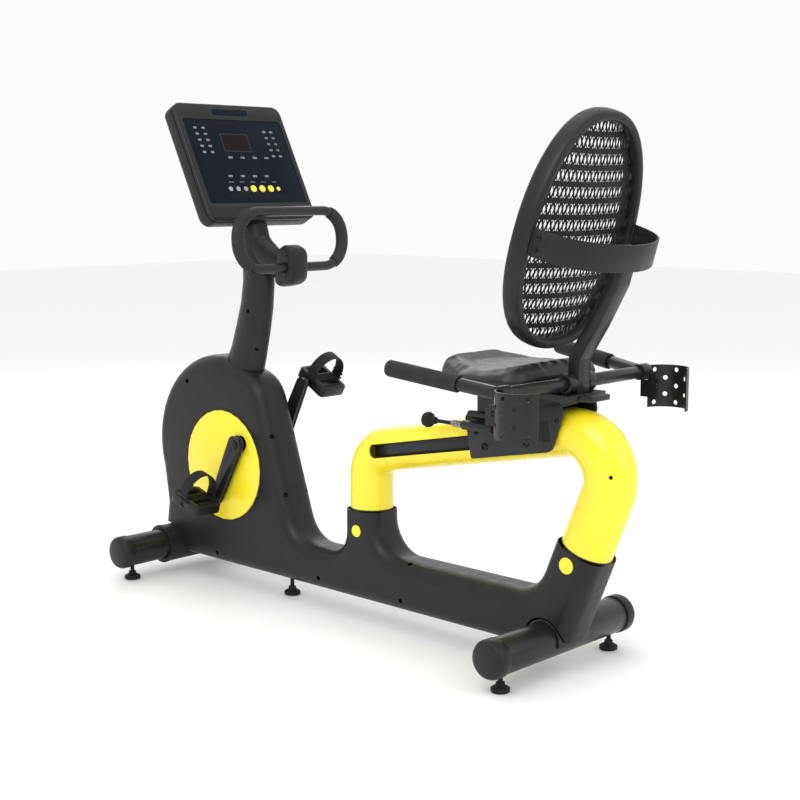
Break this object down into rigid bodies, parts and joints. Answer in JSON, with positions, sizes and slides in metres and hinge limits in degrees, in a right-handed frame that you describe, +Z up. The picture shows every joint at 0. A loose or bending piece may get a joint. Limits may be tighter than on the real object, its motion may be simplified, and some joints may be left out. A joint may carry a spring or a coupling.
{
  "type": "recumbent exercise bike",
  "caption": "Recumbent exercise bike: enclosed flywheel drive, sliding seat with mesh back on a bent yellow rail tube, side handles, tilted console on a mast.",
  "frame": {"origin": "on the floor under the middle of the bike's length and width", "axes": "+X to the rear (the rider faces -X), +Y to the rider's right, +Z up"},
  "size_m": [1.5827, 0.6364, 1.2915],
  "materials": {
    "frame_paint": "satin black powder coat",
    "body_plastic": "moulded charcoal plastic, fine texture",
    "yellow_plastic": "gloss yellow",
    "yellow_paint": "gloss yellow paint",
    "steel": "machined steel",
    "cast_iron": "turned rim",
    "foot_rubber": "matt black rubber",
    "seat_leather": "black coated upholstery",
    "mesh_fabric": "open black mesh",
    "screen": "dark navy panel"
  },
  "bodies": {
    "frame": {"body_shell_left": "body_plastic", "body_shell_right": "body_plastic", "centre_foot": "foot_rubber", "console_back": "body_plastic", "console_bezel": "body_plastic", "console_screen": "screen", "crank_bearing_left": "steel", "crank_bearing_right": "steel", "drive_belt": "foot_rubber", "flywheel_axle": "steel", "frame_spine": "frame_paint", "front_end_cap_left": "body_plastic", "front_end_cap_right": "body_plastic", "front_foot_left": "foot_rubber", "front_foot_right": "foot_rubber", "front_stabilizer": "frame_paint", "front_stabilizer_sleeve": "body_plastic", "handlebar_boss": "body_plastic", "handlebar_grip_left": "foot_rubber", "handlebar_grip_right": "foot_rubber", "handlebar_ring": "frame_paint", "mast": "body_plastic", "rail_track": "frame_paint", "rear_end_cap_left": "body_plastic", "rear_end_cap_right": "body_plastic", "rear_foot_left": "foot_rubber", "rear_foot_right": "foot_rubber", "rear_stabilizer": "frame_paint", "rear_stabilizer_saddle": "frame_paint", "round_cover_left": "yellow_plastic", "round_cover_right": "yellow_plastic", "seat_rail_tube": "yellow_paint"},
    "crank": {"crank_axle": "steel", "crank_left": "frame_paint", "crank_right": "frame_paint", "drive_pulley": "steel"},
    "flywheel_wheel": {"flywheel": "cast_iron"},
    "brake": {"magnet_brake": "frame_paint"},
    "pedal_l": {"pedal_left": "body_plastic", "pedal_strap_left": "foot_rubber"},
    "pedal_r": {"pedal_right": "body_plastic", "pedal_strap_right": "foot_rubber"},
    "seat": {"seat_carriage": "frame_paint", "seat_pan": "body_plastic", "seat_pad": "seat_leather", "seat_cross_tube": "frame_paint", "seat_handle_left": "frame_paint", "seat_handle_right": "frame_paint", "seat_grip_left": "foot_rubber", "seat_grip_right": "foot_rubber", "holder_plate_left": "frame_paint", "holder_plate_right": "frame_paint", "back_post": "frame_paint", "lumbar_band": "body_plastic", "back_hoop": "body_plastic", "back_mesh": "mesh_fabric"},
    "pull_knob": {"seat_pull_knob": "foot_rubber"},
    "key_1": {"console_key_1": "yellow_plastic"},
    "key_2": {"console_key_2": "yellow_plastic"},
    "key_3": {"console_key_3": "yellow_plastic"}
  },
  "joints": [
    {"name": "crank_spin", "type": "hinge", "parent": "frame", "child": "crank", "pos_m": [-0.4117, 0, 0.401], "axis": [0, 1, 0], "continuous": true},
    {"name": "flywheel_spin", "type": "hinge", "parent": "frame", "child": "flywheel_wheel", "pos_m": [-0.5917, 0, 0.34], "axis": [0, 1, 0], "continuous": true},
    {"name": "brake_swing", "type": "hinge", "parent": "frame", "child": "brake", "pos_m": [-0.4887, 0, 0.478], "axis": [0, 1, 0], "range_deg": [0, 3]},
    {"name": "pedal_left_spin", "type": "hinge", "parent": "crank", "child": "pedal_l", "pos_m": [-0.49305, -0.155, 0.24606], "axis": [0, 1, 0], "continuous": true},
    {"name": "pedal_right_spin", "type": "hinge", "parent": "crank", "child": "pedal_r", "pos_m": [-0.33035, 0.155, 0.55594], "axis": [0, 1, 0], "continuous": true},
    {"name": "seat_slide", "type": "slide", "parent": "frame", "child": "seat", "axis": [0.9816, 0, 0.1908], "range_m": [-0.28, 0.02]},
    {"name": "knob_pull", "type": "slide", "parent": "seat", "child": "pull_knob", "axis": [-1, 0, 0], "range_m": [0, 0.014], "stiffness_N_per_m": 700, "springref_m": -0.004},
    {"name": "key_1_press", "type": "slide", "parent": "frame", "child": "key_1", "axis": [-0.8918, 0, -0.4524], "range_m": [0, 0.001], "stiffness_N_per_m": 1500, "springref_m": -0.0005},
    {"name": "key_2_press", "type": "slide", "parent": "frame", "child": "key_2", "axis": [-0.8918, 0, -0.4524], "range_m": [0, 0.001], "stiffness_N_per_m": 1500, "springref_m": -0.0005},
    {"name": "key_3_press", "type": "slide", "parent": "frame", "child": "key_3", "axis": [-0.8918, 0, -0.4524], "range_m": [0, 0.001], "stiffness_N_per_m": 1500, "springref_m": -0.0005}
  ],
  "couplings": [
    {"joint": "flywheel_spin", "follows": "crank_spin", "ratio": 3.3636}
  ]
}
